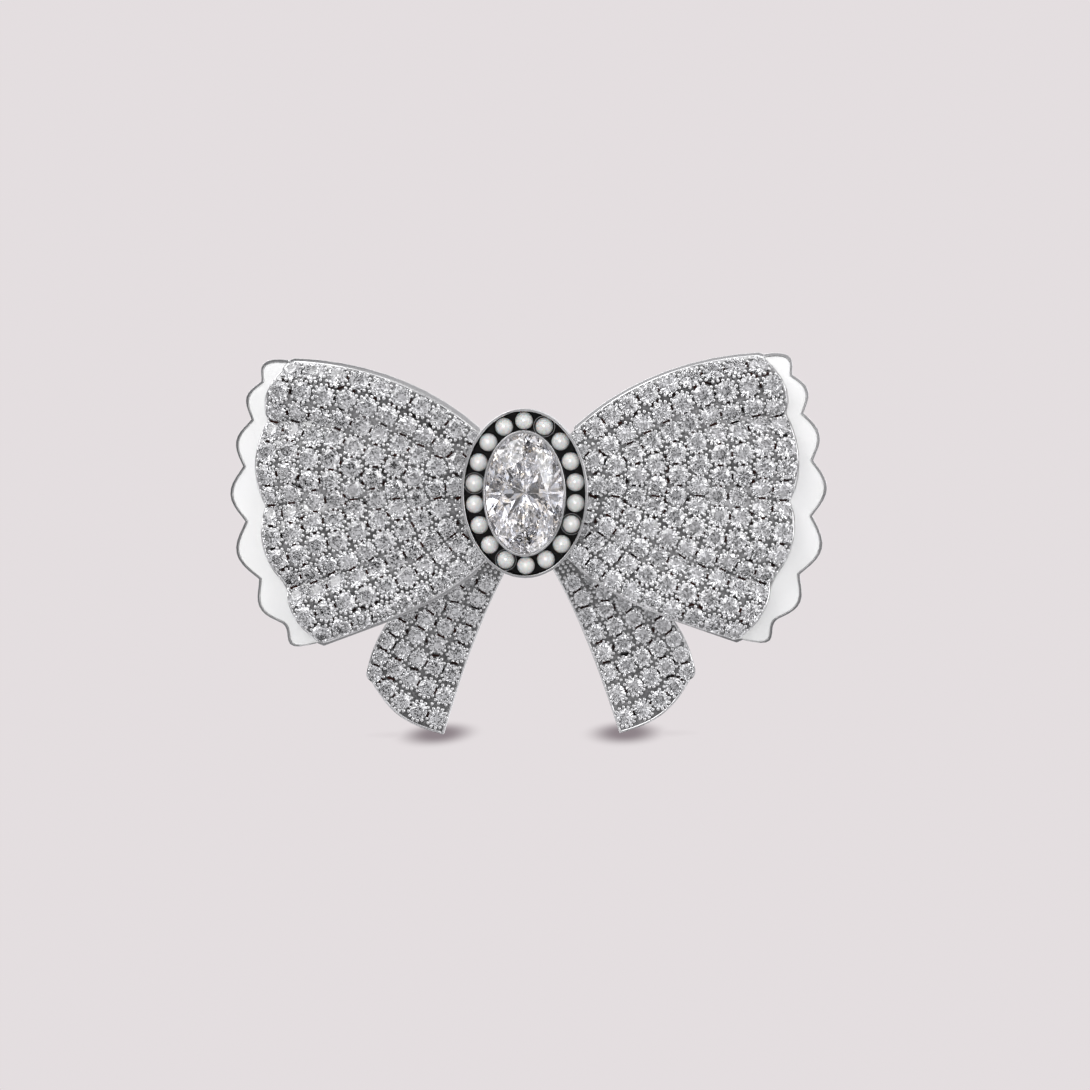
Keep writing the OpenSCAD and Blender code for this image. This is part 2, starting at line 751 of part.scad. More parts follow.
module catch_rotor() {
    color("silver")
        translate([0, pin_y, pin_z])
            difference() {
                union() {
                    tube_x(catch_x - rotor_out - tab_w, catch_l + 2 * rotor_out + tab_w, rotor_r);
                    rotate([tab_turn, 0, 0])
                        translate([catch_x - rotor_out - tab_w + tab_inset, tab_from, -tab_half_l])
                            cube([tab_w - tab_inset, tab_reach - tab_from, 2 * tab_half_l]);
                }
                tube_x(catch_x - 2 * cut_past, catch_l + 4 * cut_past, rotor_bore_r);
                mouth_cut(catch_x - 2 * cut_past, catch_l + 4 * cut_past);
            }
}

wing_plate(RIGHT);  // right_wing_plate
wing_plate(LEFT);  // left_wing_plate
wing_stones(RIGHT);  // right_wing_stones
wing_stones(LEFT);  // left_wing_stones
enamel_tray(RIGHT);  // right_enamel_tray
enamel_tray(LEFT);  // left_enamel_tray
enamel_fill(RIGHT);  // right_enamel_fill
enamel_fill(LEFT);  // left_enamel_fill
tail_plate(RIGHT);  // right_tail_plate
tail_plate(LEFT);  // left_tail_plate
tail_stones(RIGHT);  // right_tail_stones
tail_stones(LEFT);  // left_tail_stones
medallion_cup();
channel_floor();
pearl_pegs();
centre_bezel();
centre_stone();
back_bridge();
bridge_rivets();
hinge_bracket();
hinge_rivet();
pin_stem();
catch_body();
catch_rotor();
for (k = [1 : pearl_count]) {
    pearl(k);
}
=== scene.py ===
"""Looks of the bow brooch: pavé sheets, faceted stones, enamel, pearls and polished metal."""

import json
import math
import random

import bmesh
import bpy
from mathutils import Matrix, Vector

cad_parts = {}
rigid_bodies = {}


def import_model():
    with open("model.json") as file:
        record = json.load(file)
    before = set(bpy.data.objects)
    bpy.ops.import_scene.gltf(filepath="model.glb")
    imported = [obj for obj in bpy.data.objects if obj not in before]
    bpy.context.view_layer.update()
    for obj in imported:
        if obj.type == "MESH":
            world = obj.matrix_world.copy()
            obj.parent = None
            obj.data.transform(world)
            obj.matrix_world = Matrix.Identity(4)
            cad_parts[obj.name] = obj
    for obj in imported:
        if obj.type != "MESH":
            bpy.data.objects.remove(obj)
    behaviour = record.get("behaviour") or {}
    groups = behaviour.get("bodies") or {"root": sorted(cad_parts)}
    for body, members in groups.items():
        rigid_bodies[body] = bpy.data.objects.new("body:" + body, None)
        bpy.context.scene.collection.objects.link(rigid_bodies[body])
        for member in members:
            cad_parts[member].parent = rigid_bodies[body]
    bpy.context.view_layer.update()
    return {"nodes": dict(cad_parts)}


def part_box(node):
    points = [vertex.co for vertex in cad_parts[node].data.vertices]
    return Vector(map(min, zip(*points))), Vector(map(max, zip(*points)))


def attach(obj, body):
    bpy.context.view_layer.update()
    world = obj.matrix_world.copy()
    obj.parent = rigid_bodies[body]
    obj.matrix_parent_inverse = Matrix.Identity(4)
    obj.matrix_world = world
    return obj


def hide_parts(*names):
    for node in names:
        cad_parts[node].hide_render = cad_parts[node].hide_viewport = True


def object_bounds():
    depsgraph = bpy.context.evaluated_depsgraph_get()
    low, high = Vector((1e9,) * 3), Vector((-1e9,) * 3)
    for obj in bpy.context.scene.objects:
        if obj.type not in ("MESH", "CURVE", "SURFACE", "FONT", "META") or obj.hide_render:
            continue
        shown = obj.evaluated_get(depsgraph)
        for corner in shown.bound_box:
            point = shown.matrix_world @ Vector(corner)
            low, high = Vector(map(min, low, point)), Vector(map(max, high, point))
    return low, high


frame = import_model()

MM = 0.001
RIGHT, LEFT = 1, -1
SIDES = {"right": RIGHT, "left": LEFT}

# Driving dimensions of the part, in millimetres, depths counted forwards from the rear face
WING_ROOT_H, WING_DOME_H, PLEAT_H, WING_FOOT = 5.3, 1.3, 1.0, 3.75
WING_TOP = ((7.8, 51.8), (18.2, 39.6), (26.9, 29.8))
WING_LOW = ((8, -58.5), (16.7, -44.5), (25.5, -36))
PLEATS = ((0, 25.3, 0.85), (0.227, 25.7, 0.95), (0.5, 26.1, 0.75), (0.79, 26.75, 1), (1, 26.6, 0))
ROOT_A, ROOT_B, RIM_A, RIM_B = 5.8, 7.9, 6.25, 8.35
ROOT_FROM, ROOT_TO = -58, 52
COLUMNS, SWELL_COLUMNS = 10, 6
STONE_R, STONE_PITCH, TAIL_STONE_R, TAIL_PITCH = 0.95, 2.0, 0.84, 1.8
GIRDLE_LIFT, EDGE_GAP, ROOT_CLEAR, UNDER_WING = 0.25, 0.14, 1.05, 0.7
SMALL_R, SMALL_FROM, SMALL_ROW_STEP, SMALL_ROWS, SMALL_STEPS, SMALL_GAP = 0.6, 0.7, 0.3, 8, 100, 0.1
TAIL_BACK, TAIL_WALL, TAIL_DOME_H, TAIL_FROM = 0.85, 1.1, 1.0, 0.09
TAIL_INNER = ((1.2, -6), (5.2, -12.2), (8.9, -24.5))
TAIL_OUTER = ((4.5, -5), (15.2, -10.6), (16.6, -18.2))
TAIL_SWELL, TAIL_TIP_DIR, ROW_CLEAR = 1.25, (0.58, -0.81), 0.12
TAIL_ROWS, FIRST_ROW, ROW_SPREAD, RIM_HIDES = 10, 0.55, 1.1, 0.95
CENTRE_GIRDLE_Y, CENTRE_GIRDLE_T, CENTRE_PAVILION_H = -9.0, 0.1, 3.5

# Finish of the pavé, in millimetres
SHEET_LIFT = 0.21
BEAD_R = 0.21
BEAD_GAP = 0.41
BEAD_STEPS = 40
BEAD_NEAR = 3.2  # how far away a stone can crowd a bead
WIDE_GAP = 0.65  # gaps wider than this count as equal
FILL_CLEAR = 0.2  # extra room that a filling bead keeps from the stones
WIRE_R = 0.13
WIRE_DROP = 0.02
CUT_LENGTH, CUT_WIDTH, CUT_H = 0.76, 0.24, 0.1
CUT_REACH = 0.55
CUT_LIFT = 0.09
CUT_SHARE = {True: 0.92, False: 0.6}  # share of gaps that are cut: between rows, and along a row
CUT_STRETCH = {True: (0.85, 1.1), False: (0.5, 0.75)}
STONE_SWELL, STONE_GAP = 1.07, 0.015
STONE_LEAN = 0.05
EDGE_MARGIN = 0.2
# A round stone's table, crown, girdle and pavilion, as shares of its radius
ROUND_CUT = (0.56, 0.32, 0.06, 0.86)
# Points along and across a pleated sheet
WING_GRID, TAIL_GRID = (40, 112), (60, 30)


# --- Curves and surfaces shared with the part -------------------------------------------------
def mix(a, b, t):
    return a + (b - a) * t


def parabola(x, p):
    (x0, y0), (x1, y1), (x2, y2) = p
    return (
        y0 * (x - x1) * (x - x2) / ((x0 - x1) * (x0 - x2))
        + y1 * (x - x0) * (x - x2) / ((x1 - x0) * (x1 - x2))
        + y2 * (x - x0) * (x - x1) / ((x2 - x0) * (x2 - x1))
    )


def ellipse_r(a, b, degrees):
    t = math.radians(degrees)
    return a * b / math.hypot(b * math.cos(t), a * math.sin(t))


def arch(t):
    return math.sin(math.pi * min(1, max(0, t)))


def lobe(v):
    k = 0
    while k < len(PLEATS) - 2 and v >= PLEATS[k + 1][0]:
        k += 1
    a, b = PLEATS[k], PLEATS[k + 1]
    t = min(1, max(0, (v - a[0]) / (b[0] - a[0])))
    return t, mix(a[1], b[1], t), a[2] * max(0, arch(t)) ** 0.7


def wing_angle(r, v):
    return mix(parabola(r, WING_LOW), parabola(r, WING_TOP), v)


def root_r(v):
    return ellipse_r(ROOT_A, ROOT_B, mix(ROOT_FROM, ROOT_TO, v))


def wing_point(u, v):
    t, chord, swell = lobe(v)
    r = mix(root_r(v), chord + swell, u)
    a = math.radians(wing_angle(r, v))
    h = WING_ROOT_H + WING_DOME_H * arch(min(1, max(0, u)) ** 1.2) + PLEAT_H * (0.2 + 0.8 * u) * arch(t)
    return Vector((r * math.cos(a), -h, r * math.sin(a)))


def wing_at(r, v):
    root = root_r(v)
    _, chord, swell = lobe(v)
    return wing_point((r - root) / (chord + swell - root), v)


def wing_normal(r, v):
    along = wing_at(r + 0.1, v) - wing_at(r - 0.1, v)
    return along.cross(wing_at(r, v + 0.01) - wing_at(r, v - 0.01)).normalized()


def column_r(c, v):
    _, chord, swell = lobe(v)
    return chord + swell * max(0, 1 - c / SWELL_COLUMNS) - STONE_PITCH / 2 - EDGE_GAP - c * STONE_PITCH


def wing_arc(r):
    return math.radians(wing_angle(r, 1) - wing_angle(r, 0)) * r


def wing_seats():
    """Centre, outward direction and radius of every stone on a wing, on the metal."""
    seats = []
    for c in range(COLUMNS):
        arc = wing_arc(column_r(c, 0.5))
        count = int((arc - 2 * EDGE_GAP) / STONE_PITCH)
        m = EDGE_GAP / arc
        for k in range(count):
            v = m + (1 - 2 * m) * (k + 0.5) / count
            r = column_r(c, v)
            if r - ROOT_CLEAR > root_r(v):
                seats.append((wing_at(r, v), wing_normal(r, v), STONE_R))
    for row in range(SMALL_ROWS):
        for k in range(SMALL_STEPS + 1):
            v = k / SMALL_STEPS
            r = root_r(v) + SMALL_FROM + row * SMALL_ROW_STEP
            end = (SMALL_R + EDGE_GAP) / wing_arc(r)
            p = wing_at(r, v)
            free = all((q - p).length >= SMALL_R + size + SMALL_GAP for q, _, size in seats)
            if end < v <= 1 - end and free:
                seats.append((p, wing_normal(r, v), SMALL_R))
    return seats


def bezier(p, t):
    return [(1 - t) ** 2 * a + 2 * t * (1 - t) * b + t * t * c for a, b, c in zip(*p)]


def tail_point(s, t):
    inner, outer = bezier(TAIL_INNER, t), bezier(TAIL_OUTER, t)
    swell = TAIL_SWELL * math.sin(math.pi * s) * max(0, t) ** 6
    h = TAIL_BACK + TAIL_WALL
    h += TAIL_DOME_H * math.sin(math.pi / 2 * min(1, t)) ** 4 * (0.35 + 0.65 * math.sin(math.pi * s))
    x, z = (mix(inner[i], outer[i], s) + swell * TAIL_TIP_DIR[i] for i in (0, 1))
    return Vector((x, -h, z))


def tail_normal(s, t):
    down = tail_point(s, t + 0.02) - tail_point(s, t - 0.02)
    return down.cross(tail_point(s + 0.02, t) - tail_point(s - 0.02, t)).normalized()


def flat_distance(a, b):
    return math.hypot(a.x - b.x, a.z - b.z)


def tail_seats():
    seats = []
    middle = [tail_point(0.5, t) for t in (0, 0.5, 1)]
    length = flat_distance(middle[2], middle[1]) + flat_distance(middle[1], middle[0])
    step = ROW_SPREAD * TAIL_PITCH / length
    for row in range(TAIL_ROWS):
        t = 1 - (row + FIRST_ROW) * step
        if t <= TAIL_FROM + ROW_CLEAR:
            continue
        width = flat_distance(tail_point(0, t), tail_point(1, t))
        count = int((width - 2 * EDGE_GAP) / TAIL_PITCH)
        m = EDGE_GAP / width
        for k in range(count):
            s = m + (1 - 2 * m) * (k + 0.5) / count
            p = tail_point(s, t)
            r = math.hypot(p.x, p.z)
            wing_edge = parabola(r, WING_LOW) + math.degrees(UNDER_WING / r)
            below_wing = math.degrees(math.atan2(p.z, p.x)) < wing_edge
            if below_wing and math.hypot(p.x / RIM_A, p.z / RIM_B) > RIM_HIDES:
                seats.append((p, tail_normal(s, t), TAIL_STONE_R))
    return seats


# --- Mesh helpers -----------------------------------------------------------------------------
def add_object(name, mesh, body="bow"):
    obj = bpy.data.objects.new(name, mesh)
    bpy.context.scene.collection.objects.link(obj)
    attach(obj, body)
    return obj


def raw_mesh(name, points, faces, side=RIGHT, smooth=False):
    """A mesh from millimetre points; the left side is the mirror image."""
    mesh = bpy.data.meshes.new(name)
    verts = [(p[0] * side * MM, p[1] * MM, p[2] * MM) for p in points]
    mesh.from_pydata(verts, [], faces if side == RIGHT else [tuple(reversed(f)) for f in faces])
    for poly in mesh.polygons:
        poly.use_smooth = smooth
    mesh.update()
    return mesh


def mesh_from(name, points, faces, side=RIGHT, smooth=False):
    """As raw_mesh, with every face turned outwards."""
    mesh = raw_mesh(name, points, faces, side, smooth)
    bm = bmesh.new()
    bm.from_mesh(mesh)
    bmesh.ops.recalc_face_normals(bm, faces=bm.faces)
    bm.to_mesh(mesh)
    bm.free()
    mesh.update()
    return mesh


def soften(mesh, degrees=35):
    for poly in mesh.polygons:
        poly.use_smooth = True
    mesh.set_sharp_from_angle(angle=math.radians(degrees))


def apply_modifiers(obj):
    depsgraph = bpy.context.evaluated_depsgraph_get()
    mesh = bpy.data.meshes.new_from_object(obj.evaluated_get(depsgraph))
    obj.modifiers.clear()
    obj.data = mesh


def frame_at(point, direction, turn=0.0):
    """A matrix that puts local +Z along a direction at a point."""
    rotation = direction.to_track_quat("Z", "Y").to_matrix().to_4x4()
    return Matrix.Translation(point) @ rotation @ Matrix.Rotation(turn, 4, "Z")


def join_copies(name, shape, places, side=RIGHT, smooth=False):
    """One mesh with a copy of a shape, given as points and faces, at every matrix."""
    points, faces = [], []
    shape_points, shape_faces = shape
    for place in places:
        start = len(points)
        points += [place @ Vector(p) for p in shape_points]
        faces += [tuple(i + start for i in f) for f in shape_faces]
    return raw_mesh(name, points, faces, side, smooth)


# --- Shapes -----------------------------------------------------------------------------------
def brilliant(table, crown_h, girdle_t, pavilion_h, halves=0.3, mid=(0.8, 0.58)):
    """Points and faces of a brilliant cut: girdle from z = 0 to girdle_t, table towards +Z."""
    def ring(count, radius, z, shift=0.0):
        step = 2 * math.pi / count
        return [(radius * math.cos((k + shift) * step), radius * math.sin((k + shift) * step), z)
                for k in range(count)]

    top = girdle_t + crown_h
    tables = ring(8, table, top)
    stars = ring(8, mid[0], girdle_t + mid[1] * crown_h, 0.5)
    upper, lower = ring(16, 1, girdle_t), ring(16, 1, 0)
    lows = ring(8, halves, -(1 - halves) * pavilion_h * 0.97, 0.5)
    points = tables + stars + upper + lower + lows + [(0, 0, -pavilion_h)]
    T, S, U, L, W, C = 0, 8, 16, 32, 48, 56
    faces = [tuple(range(8))]
    for k in range(8):
        n = (k + 1) % 8
        before = (k - 1) % 8
        faces.append((T + k, S + k, T + n))
        faces.append((T + k, S + before, U + 2 * k, S + k))
        faces.append((S + k, U + 2 * k, U + 2 * k + 1))
        faces.append((S + k, U + 2 * k + 1, U + (2 * k + 2) % 16))
        faces.append((C, W + k, L + 2 * k, W + before))
        faces.append((L + 2 * k, W + k, L + 2 * k + 1))
        faces.append((L + 2 * k + 1, W + k, L + (2 * k + 2) % 16))
    for k in range(16):
        n = (k + 1) % 16
        faces.append((U + k, L + k, L + n, U + n))
    return points, faces


def bead(radius, rings=4, around=10):
    """A domed bead on a short neck, standing on z = 0."""
    points, faces = [], []
    levels = [(-0.6, 1.0)] + [
        (math.sin(math.pi / 2 * k / rings), math.cos(math.pi / 2 * k / rings)) for k in range(rings)
    ]
    for z, r in levels:
        for k in range(around):
            turn = 2 * math.pi * k / around
            points.append((radius * r * math.cos(turn), radius * r * math.sin(turn), radius * z))
    points.append((0, 0, radius))
    for level in range(len(levels) - 1):
        for k in range(around):
            n = (k + 1) % around
            faces.append((level * around + k, level * around + n,
                          (level + 1) * around + n, (level + 1) * around + k))
    last = (len(levels) - 1) * around
    for k in range(around):
        faces.append((last + k, last + (k + 1) % around, len(points) - 1))
    faces.append(tuple(range(around - 1, -1, -1)))
    return points, faces


def saw_cut():
    """A thin slot, a little wider at its ends, along local +X."""
    l, w = CUT_LENGTH / 2, CUT_WIDTH / 2
    half = [(0.4 * l, -0.75 * w), (0.8 * l, -w), (l, -0.7 * w)]
    lower = [(-x, y) for x, y in reversed(half)] + half
    outline = lower + [(x, -y) for x, y in reversed(lower)]
    count = len(outline)
    points = [(x, y, z) for z in (-CUT_H, CUT_H) for x, y in outline]
    faces = [tuple(range(count - 1, -1, -1)), tuple(range(count, 2 * count))]
    faces += [(k, (k + 1) % count, count + (k + 1) % count, count + k) for k in range(count)]
    return points, faces


def seat_cone():
    """The cutter of a unit stone's seat: a straight collar over a cone."""
    around = 20
    levels = [(0.4, 1.015), (-0.05, 1.015), (-0.98, 0.08)]
    points, faces = [], []
    for z, r in levels:
        for k in range(around):
            turn = 2 * math.pi * k / around
            points.append((r * math.cos(turn), r * math.sin(turn), z))
    for level in range(2):
        for k in range(around):
            n = (k + 1) % around
            faces.append((level * around + n, level * around + k,
                          (level + 1) * around + k, (level + 1) * around + n))
    faces.append(tuple(range(around)))
    faces.append(tuple(range(3 * around - 1, 2 * around - 1, -1)))
    return points, faces


# --- Materials --------------------------------------------------------------------------------
def new_material(name):
    mat = bpy.data.materials.new(name)
    mat.use_nodes = True
    tree = mat.node_tree
    return mat, tree, tree.nodes["Principled BSDF"]


def noise(tree, scale, detail=2.0):
    coordinates = tree.nodes.new("ShaderNodeTexCoord")
    texture = tree.nodes.new("ShaderNodeTexNoise")
    texture.inputs["Scale"].default_value = scale
    texture.inputs["Detail"].default_value = detail
    tree.links.new(coordinates.outputs["Object"], texture.inputs["Vector"])
    return texture


def mapped(tree, source, low, high):
    node = tree.nodes.new("ShaderNodeMapRange")
    node.inputs["To Min"].default_value = low
    node.inputs["To Max"].default_value = high
    tree.links.new(source, node.inputs["Value"])
    return node.outputs["Result"]


def add_bump(tree, shader, source, strength, distance):
    node = tree.nodes.new("ShaderNodeBump")
    node.inputs["Strength"].default_value = strength
    node.inputs["Distance"].default_value = distance
    tree.links.new(source, node.inputs["Height"])
    tree.links.new(node.outputs["Normal"], shader.inputs["Normal"])


def tinted(tree, shader, source, dark, light):
    ramp = tree.nodes.new("ShaderNodeValToRGB")
    ramp.color_ramp.elements[0].position = 0.3
    ramp.color_ramp.elements[1].position = 0.7
    ramp.color_ramp.elements[0].color = (*dark, 1)
    ramp.color_ramp.elements[1].color = (*light, 1)
    tree.links.new(source, ramp.inputs["Fac"])
    tree.links.new(ramp.outputs["Color"], shader.inputs["Base Color"])
    return ramp


def metal(name, dark, light, rough, scale=900, bump=0.05, crevice_shade=0.0):
    mat, tree, shader = new_material(name)
    shader.inputs["Metallic"].default_value = 1
    texture = noise(tree, scale)
    ramp = tinted(tree, shader, texture.outputs["Fac"], dark, light)
    # Painted shade: an ambient occlusion term darkens the base colour in crevices and round nearby
    # pieces.
    if crevice_shade:
        occlusion = tree.nodes.new("ShaderNodeAmbientOcclusion")
        occlusion.inputs["Distance"].default_value = crevice_shade
        tree.links.new(ramp.outputs["Color"], occlusion.inputs["Color"])
        tree.links.new(occlusion.outputs["Color"], shader.inputs["Base Color"])
    tree.links.new(mapped(tree, texture.outputs["Fac"], rough[0], rough[1]), shader.inputs["Roughness"])
    add_bump(tree, shader, noise(tree, scale * 6).outputs["Fac"], bump, 0.00002)
    return mat


def stone_material(name, scale, dark, light, painted_fire=()):
    """Clear, high-index stone with faint cloudy tints; the extra (place, colour) stops between them are
    painted fire, coloured bands that stand for dispersion flashes.
    """
    mat, tree, shader = new_material(name)
    shader.inputs["Transmission Weight"].default_value = 1
    shader.inputs["IOR"].default_value = 2.15
    shader.inputs["Roughness"].default_value = 0.0
    ramp = tinted(tree, shader, noise(tree, scale, 1.0).outputs["Fac"], dark, light)
    for place, colour in painted_fire:
        stop = ramp.color_ramp.elements.new(place)
        stop.color = (*colour, 1)
    return mat


def centre_stone_material():
    """Faint lilac to faint cream, with thin blue and orange bands where the two turn; these bands are
    painted fire, the flashes that dispersion would throw.
    """
    lilac, cream, blue, orange = (0.97, 0.96, 1.0), (1.0, 0.98, 0.97), (0.6, 0.75, 1.0), (1.0, 0.78, 0.5)
    painted_fire = ((0.34, lilac), (0.37, blue), (0.4, lilac), (0.6, cream), (0.63, orange), (0.66, cream))
    return stone_material("centre_stone", 1500, lilac, cream, painted_fire)


def enamel_material():
    mat, tree, shader = new_material("white_enamel")
    shader.inputs["Coat Weight"].default_value = 0.6
    shader.inputs["Coat Roughness"].default_value = 0.04
    texture = noise(tree, 160)
    tinted(tree, shader, texture.outputs["Fac"], (0.91, 0.91, 0.9), (0.94, 0.94, 0.94))
    tree.links.new(mapped(tree, texture.outputs["Fac"], 0.12, 0.2), shader.inputs["Roughness"])
    return mat


def black_material():
    mat, tree, shader = new_material("blackened_channel")
    texture = noise(tree, 2500, 4)
    tinted(tree, shader, texture.outputs["Fac"], (0.004, 0.0035, 0.0035), (0.02, 0.017, 0.016))
    tree.links.new(mapped(tree, texture.outputs["Fac"], 0.35, 0.6), shader.inputs["Roughness"])
    add_bump(tree, shader, texture.outputs["Fac"], 0.3, 0.00003)
    return mat


def cut_material():
    # The near-black colour is painted shade: it stands for the dark seen inside an open slot.
    mat, tree, shader = new_material("saw_cut")
    shader.inputs["Specular IOR Level"].default_value = 0.1
    texture = noise(tree, 400, 1)
    tinted(tree, shader, texture.outputs["Fac"], (0.003, 0.003, 0.003), (0.03, 0.008, 0.005))
    tree.links.new(mapped(tree, texture.outputs["Fac"], 0.6, 0.8), shader.inputs["Roughness"])
    return mat


def pearl_material():
    mat, tree, shader = new_material("pearl")
    shader.inputs["Coat Weight"].default_value = 0.8
    shader.inputs["Coat Roughness"].default_value = 0.38
    shader.inputs["Subsurface Weight"].default_value = 0.15
    shader.inputs["Subsurface Scale"].default_value = 0.0004
    texture = noise(tree, 500, 3)
    tinted(tree, shader, texture.outputs["Fac"], (0.4, 0.4, 0.395), (0.48, 0.48, 0.47))
    tree.links.new(mapped(tree, texture.outputs["Fac"], 0.22, 0.38), shader.inputs["Roughness"])
    add_bump(tree, shader, noise(tree, 3000).outputs["Fac"], 0.04, 0.00002)
    return mat


SILVER = metal("silver_polished", (0.77, 0.77, 0.77), (0.84, 0.84, 0.84), (0.13, 0.18))
PAVE_METAL = metal("silver_pave", (0.72, 0.72, 0.72), (0.88, 0.88, 0.88), (0.1, 0.2), 2600, 0.1)
# The silver between the stones is a darker copy of the polished silver: its low tone is painted shade,
# and its occlusion term adds painted shade in the crevices.
SHADED_SHEET_METAL = metal("silver_between_stones", (0.3, 0.3, 0.3), (0.6, 0.6, 0.6), (0.2, 0.32),
                    2600, 0.3, crevice_shade=0.0005)
PIN_METAL = metal("pin_steel", (0.6, 0.61, 0.63), (0.74, 0.75, 0.77), (0.12, 0.2))
ROUND_STONE = stone_material("round_stone", 700, (0.93, 0.94, 0.95), (1.0, 1.0, 1.0))
CENTRE_STONE = centre_stone_material()
ENAMEL = enamel_material()
BLACK = black_material()
SAW_CUT = cut_material()
PEARL = pearl_material()


def finish(obj, material):
    obj.data.materials.clear()
    obj.data.materials.append(material)
    return obj


# --- Pavé sheets ------------------------------------------------------------------------------
def border(nu, nv):
    ring = [i * nv for i in range(nu - 1)]
    ring += [(nu - 1) * nv + j for j in range(nv - 1)]
    ring += [i * nv + nv - 1 for i in range(nu - 1, 0, -1)]
    ring += list(range(nv - 1, 0, -1))
    return ring


def block_under(points, nu, nv, back_y):
    """Closes a grid of front points down to a back surface given by back_y(point)."""
    total = nu * nv
    everything = list(points) + [Vector((p.x, back_y(p), p.z)) for p in points]
    faces = []
    for i in range(nu - 1):
        for j in range(nv - 1):
            a = i * nv + j
            faces.append((a, a + nv, a + nv + 1, a + 1))
            faces.append((total + a, total + a + 1, total + a + nv + 1, total + a + nv))
    ring = border(nu, nv)
    for k, a in enumerate(ring):
        b = ring[(k + 1) % len(ring)]
        faces.append((b, a, a + total, b + total))
    return everything, faces


def stone_place(p, n, radius, turn=0.0):
    """Puts a stone of unit radius, girdle at z = 0, on its seat."""
    return frame_at(p, n, turn) @ Matrix.Translation((0, 0, GIRDLE_LIFT)) @ Matrix.Scale(radius, 4)


def stone_sizes(seats):
    """Stones are matched to their gaps: each is as wide as its nearest neighbour lets it be."""
    sizes = []
    for i, (p, _, r) in enumerate(seats):
        room = min((p - q).length * r / (r + size) for k, (q, _, size) in enumerate(seats) if k != i)
        sizes.append(min(r * STONE_SWELL, room - STONE_GAP))
    return sizes


def cut_seats(obj, seats, sizes, side):
    places = [stone_place(p, n, size) for (p, n, _), size in zip(seats, sizes)]
    mesh = join_copies("seat_cutter", seat_cone(), places, side)
    cutter = bpy.data.objects.new("seat_cutter", mesh)
    bpy.context.scene.collection.objects.link(cutter)
    modifier = obj.modifiers.new("seats", "BOOLEAN")
    modifier.operation = "DIFFERENCE"
    modifier.solver = "MANIFOLD"
    modifier.object = cutter
    apply_modifiers(obj)
    bpy.data.objects.remove(cutter)


def edge_wire(name, ring, side, radius=WIRE_R, around=8):
    """A closed wire along a ring of points, with its round section turned out of the ring."""
    points, faces = [], []
    count = len(ring)
    middle = sum(ring, Vector()) / count
    for k, p in enumerate(ring):
        along = (ring[(k + 1) % count] - ring[k - 1]).normalized()
        out = Vector((0, -1, 0))
        sideways = along.cross(out).normalized()
        out = sideways.cross(along).normalized()
        p = p + sideways * math.copysign(radius, (middle - p).dot(sideways))
        for j in range(around):
            turn = 2 * math.pi * j / around
            points.append(p + radius * (math.cos(turn) * sideways + math.sin(turn) * out))
    for k in range(count):
        n = (k + 1) % count
        for j in range(around):
            m = (j + 1) % around
            faces.append((k * around + j, k * around + m, n * around + m, n * around + j))
    return mesh_from(name, points, faces, side, smooth=True)


def bead_places(seats, inside, fillers):
    """Beads fill the widest gaps between stones first, without touching one another."""
    beside = BEAD_R * 0.75
    options = []
    for i, (p, n, radius) in enumerate(seats):
        base = frame_at(p, n)
        reach = radius + beside
        near = [(q, r) for k, (q, _, r) in enumerate(seats) if k != i and (q - p).length < BEAD_NEAR]
        for k in range(BEAD_STEPS):
            turn = 2 * math.pi * k / BEAD_STEPS
            spot = base @ Vector((reach * math.cos(turn), reach * math.sin(turn), SHEET_LIFT))
            clear = min([(spot - q).length - r for q, r in near] + [WIDE_GAP])
            if clear > beside - 0.03 and inside(spot):
                options.append((round(clear, 3), spot, n))
    options.sort(key=lambda option: -option[0])
    options += [(0, p + n * SHEET_LIFT, n) for p, n in fillers
                if inside(p) and min((p - q).length - r for q, _, r in seats) > beside + FILL_CLEAR]
    beads = []
    for _, spot, n in options:
        if all((spot - q).length > BEAD_GAP for q, _ in beads):
            beads.append((spot, n))
    return [frame_at(spot, n) for spot, n in beads]


def cut_places(seats, rng):
    """Saw cuts lie midway between neighbouring stones, across the line that joins them."""
    places = []
    for i, (p, n, r) in enumerate(seats):
        for q, m, size in seats[i + 1:]:
            gap = q - p
            upright = abs(gap.z) > abs(gap.x)
            if gap.length > r + size + CUT_REACH or rng.random() > CUT_SHARE[upright]:
                continue
            up = (n + m).normalized()
            middle = p + gap * (0.5 + (r - size) / gap.length / 2) + up * (GIRDLE_LIFT + CUT_LIFT)
            x = up.cross(gap).normalized()
            y = up.cross(x)
            basis = Matrix((
                (x.x, y.x, up.x, middle.x), (x.y, y.y, up.y, middle.y),
                (x.z, y.z, up.z, middle.z), (0, 0, 0, 1),
            ))
            stretch = rng.uniform(*CUT_STRETCH[upright])
            places.append(basis @ Matrix.Scale(stretch, 4, Vector((1, 0, 0))))
    return places


